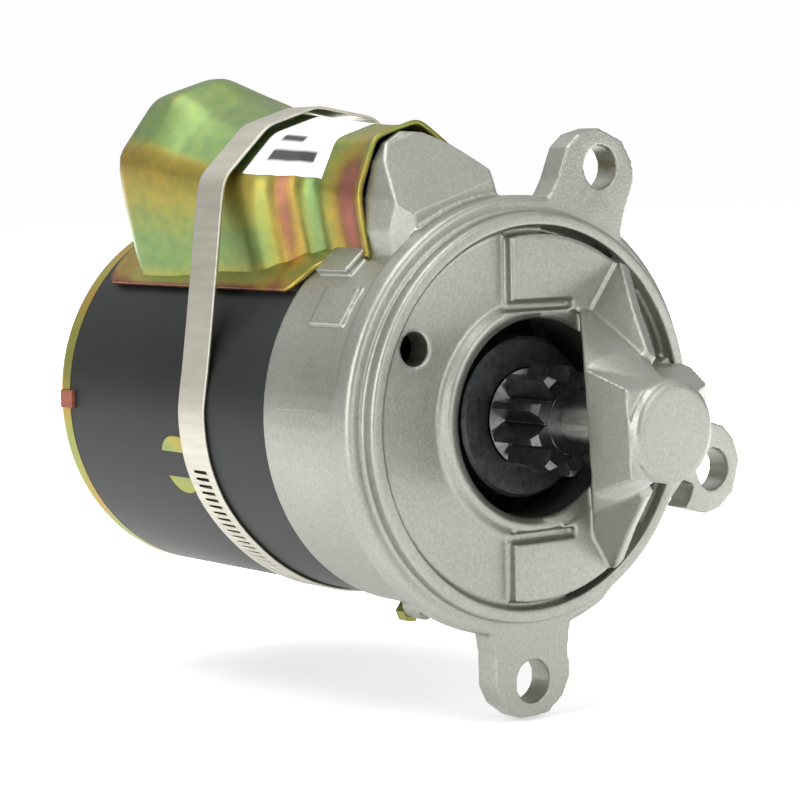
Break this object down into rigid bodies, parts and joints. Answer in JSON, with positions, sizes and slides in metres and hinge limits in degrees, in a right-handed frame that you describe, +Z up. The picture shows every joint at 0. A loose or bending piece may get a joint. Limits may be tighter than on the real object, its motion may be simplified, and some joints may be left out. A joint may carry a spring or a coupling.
{
  "type": "starter motor",
  "caption": "Direct-drive engine starter with a movable pole shoe under a plated hump cover, a black field frame and a cast nose housing with mounting ears.",
  "frame": {"origin": "centre of the mounting face on the armature's axis", "axes": "+X along the shaft towards the pinion nose, +Z up, ring gear on the -Y side"},
  "size_m": [0.233, 0.1474, 0.187],
  "materials": {
    "cast_aluminium": "as-cast with machined faces",
    "black_paint": "satin black paint",
    "yellow_zinc": "yellow chromated zinc plate, iridescent",
    "stainless": "rolled stainless",
    "machined_steel": "turned",
    "dark_steel": "oiled black oxide",
    "gear_steel": "hardened and oiled",
    "spring_steel": "drawn wire",
    "iron": "soft iron",
    "copper": "copper",
    "bronze": "sintered bronze",
    "brass_sheet": "rolled brass",
    "carbon": "carbon brush block",
    "fibre": "red-brown insulating fibre",
    "wrapped_coil": "varnished cotton tape",
    "gasket_rubber": "moulded rubber"
  },
  "bodies": {
    "motor_body": {"drive_end_housing": "cast_aluminium", "field_frame": "black_paint", "rear_end_plate": "yellow_zinc", "locating_tab": "fibre", "lever_cover": "yellow_zinc", "cover_gasket": "gasket_rubber", "band_clamp": "stainless", "clamp_housing": "stainless", "clamp_screw": "stainless", "pivot_pin": "machined_steel", "through_bolts": "yellow_zinc", "pole_screws": "yellow_zinc", "pole_shoe_1": "iron", "pole_shoe_2": "iron", "pole_shoe_3": "iron", "field_coil_1": "wrapped_coil", "field_coil_2": "wrapped_coil", "field_coil_3": "wrapped_coil", "drive_coil": "wrapped_coil", "front_bushing": "bronze", "rear_bushing": "bronze", "brush_plate": "fibre", "brush_holders": "brass_sheet", "terminal_stud": "machined_steel", "terminal_insulator": "fibre", "terminal_nuts": "yellow_zinc", "terminal_strap": "copper", "return_spring": "spring_steel", "contact_block": "fibre", "contact_blades": "copper", "lug_screw": "yellow_zinc", "brush_spring_1": "spring_steel", "brush_spring_2": "spring_steel", "brush_spring_3": "spring_steel", "brush_spring_4": "spring_steel"},
    "armature": {"armature_shaft": "machined_steel", "armature_core": "iron", "armature_windings": "copper", "commutator": "copper", "thrust_washer": "fibre", "stop_ring": "machined_steel", "stop_ring_clip": "spring_steel"},
    "drive": {"spline_sleeve": "machined_steel", "yoke_collar": "dark_steel", "clutch_spring": "spring_steel", "clutch_drum": "dark_steel", "clutch_rollers": "machined_steel"},
    "pinion_gear": {"pinion": "gear_steel"},
    "lever": {"drive_lever": "dark_steel", "movable_pole_shoe": "iron"},
    "brush_1": {"brush_1": "carbon"},
    "brush_2": {"brush_2": "carbon"},
    "brush_3": {"brush_3": "carbon"},
    "brush_4": {"brush_4": "carbon"}
  },
  "joints": [
    {"name": "armature_spin", "type": "hinge", "parent": "motor_body", "child": "armature", "pos_m": [0, 0, 0], "axis": [1, 0, 0], "continuous": true},
    {"name": "lever_swing", "type": "hinge", "parent": "motor_body", "child": "lever", "pos_m": [-0.036, -0.01813, 0.05929], "axis": [0, -0.9563, -0.2924], "range_deg": [0, 17], "stiffness_Nm_per_rad": 1.5, "springref_deg": -22.92, "deforming": ["return_spring"]},
    {"name": "drive_slide", "type": "slide", "parent": "armature", "child": "drive", "axis": [1, 0, 0], "range_m": [0, 0.0184]},
    {"name": "pinion_overrun", "type": "hinge", "parent": "drive", "child": "pinion_gear", "pos_m": [0, 0, 0], "axis": [1, 0, 0], "continuous": true},
    {"name": "brush_1_slide", "type": "slide", "parent": "motor_body", "child": "brush_1", "axis": [0, -0.2924, 0.9563], "range_m": [0, 0.004], "stiffness_N_per_m": 700, "springref_m": -0.016, "deforming": ["brush_spring_1"]},
    {"name": "brush_2_slide", "type": "slide", "parent": "motor_body", "child": "brush_2", "axis": [0, -0.9563, -0.2924], "range_m": [0, 0.004], "stiffness_N_per_m": 700, "springref_m": -0.016, "deforming": ["brush_spring_2"]},
    {"name": "brush_3_slide", "type": "slide", "parent": "motor_body", "child": "brush_3", "axis": [0, 0.2924, -0.9563], "range_m": [0, 0.004], "stiffness_N_per_m": 700, "springref_m": -0.016, "deforming": ["brush_spring_3"]},
    {"name": "brush_4_slide", "type": "slide", "parent": "motor_body", "child": "brush_4", "axis": [0, 0.9563, 0.2924], "range_m": [0, 0.004], "stiffness_N_per_m": 700, "springref_m": -0.016, "deforming": ["brush_spring_4"]}
  ],
  "couplings": [
    {"joint": "drive_slide", "follows": "lever_swing", "m_per_rad": 0.062}
  ]
}
